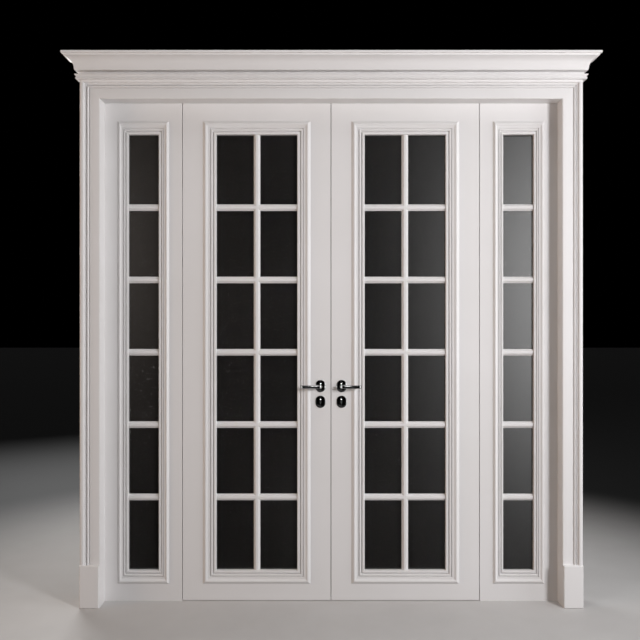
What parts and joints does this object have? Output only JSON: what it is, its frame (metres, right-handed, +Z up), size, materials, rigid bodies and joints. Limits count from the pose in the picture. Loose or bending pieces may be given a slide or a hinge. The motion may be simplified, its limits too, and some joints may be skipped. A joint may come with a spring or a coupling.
{
  "type": "double french door with sidelights",
  "caption": "White panelled double door in its frame, glazed leaves with bars between fixed glazed sidelights, moulded casing, plinth blocks, cornice and lever handles.",
  "frame": {"origin": "floor level, middle of the doorway, on the front face of the wall that the casing lies on", "axes": "+X to the right seen from the front, +Y into the wall and away from the viewer, +Z up"},
  "size_m": [2.3832, 0.2428, 2.479],
  "materials": {
    "white_paint": "satin off-white paint on wood",
    "glass": "smoked clear glass",
    "chrome": "polished chrome",
    "satin_steel": "satin steel",
    "seal_rubber": "matt grey seal"
  },
  "bodies": {
    "frame": {"back_casing": "white_paint", "cornice_front": "white_paint", "cornice_left_return": "white_paint", "cornice_right_return": "white_paint", "head_casing": "white_paint", "head_jamb": "white_paint", "head_seal": "seal_rubber", "left_casing": "white_paint", "left_hinge_frame_halves": "satin_steel", "left_jamb": "white_paint", "left_plinth_block": "white_paint", "left_sidelight_bars": "white_paint", "left_sidelight_bottom_rail": "white_paint", "left_sidelight_glass": "glass", "left_sidelight_inner_stile": "white_paint", "left_sidelight_mouldings": "white_paint", "left_sidelight_outer_stile": "white_paint", "left_sidelight_top_rail": "white_paint", "right_casing": "white_paint", "right_hinge_frame_halves": "satin_steel", "right_jamb": "white_paint", "right_plinth_block": "white_paint", "right_sidelight_bars": "white_paint", "right_sidelight_bottom_rail": "white_paint", "right_sidelight_glass": "glass", "right_sidelight_inner_stile": "white_paint", "right_sidelight_mouldings": "white_paint", "right_sidelight_outer_stile": "white_paint", "right_sidelight_top_rail": "white_paint"},
    "left_leaf": {"left_hinge_leaf_halves": "satin_steel", "left_leaf_bars": "white_paint", "left_leaf_bottom_rail": "white_paint", "left_leaf_glass": "glass", "left_leaf_hinge_stile": "white_paint", "left_leaf_meeting_stile": "white_paint", "left_leaf_mouldings": "white_paint", "left_leaf_top_rail": "white_paint", "left_rosettes": "chrome", "strike_plate": "satin_steel"},
    "right_leaf": {"lock_case": "satin_steel", "meeting_seal": "seal_rubber", "right_hinge_leaf_halves": "satin_steel", "right_leaf_bars": "white_paint", "right_leaf_bottom_rail": "white_paint", "right_leaf_glass": "glass", "right_leaf_hinge_stile": "white_paint", "right_leaf_meeting_stile": "white_paint", "right_leaf_mouldings": "white_paint", "right_leaf_top_rail": "white_paint", "right_rosettes": "chrome"},
    "left_handle": {"left_front_lever": "chrome", "left_back_lever": "chrome", "left_spindle": "satin_steel"},
    "right_handle": {"right_front_lever": "chrome", "right_back_lever": "chrome", "right_spindle": "satin_steel"},
    "latch": {"latch_bolt": "satin_steel"},
    "dead_bolt": {"dead_bolt": "satin_steel"}
  },
  "joints": [
    {"name": "left_leaf_swing", "type": "hinge", "parent": "frame", "child": "left_leaf", "pos_m": [-0.683, 0.1025, 1.15], "axis": [0, 0, 1], "range_deg": [0, 170]},
    {"name": "right_leaf_swing", "type": "hinge", "parent": "frame", "child": "right_leaf", "pos_m": [0.683, 0.1025, 1.15], "axis": [0, 0, -1], "range_deg": [0, 170]},
    {"name": "left_lever_turn", "type": "hinge", "parent": "left_leaf", "child": "left_handle", "pos_m": [-0.0485, 0.073, 0.9875], "axis": [0, -1, 0], "range_deg": [0, 45], "stiffness_Nm_per_rad": 1, "springref_deg": -28.65},
    {"name": "right_lever_turn", "type": "hinge", "parent": "right_leaf", "child": "right_handle", "pos_m": [0.0485, 0.073, 0.9875], "axis": [0, 1, 0], "range_deg": [0, 45], "stiffness_Nm_per_rad": 1, "springref_deg": -28.65},
    {"name": "latch_slide", "type": "slide", "parent": "right_leaf", "child": "latch", "axis": [1, 0, 0], "range_m": [0, 0.012]},
    {"name": "dead_bolt_slide", "type": "slide", "parent": "right_leaf", "child": "dead_bolt", "axis": [-1, 0, 0], "range_m": [0, 0.02]}
  ],
  "couplings": [
    {"joint": "latch_slide", "follows": "right_lever_turn", "m_per_rad": 0.01527}
  ]
}
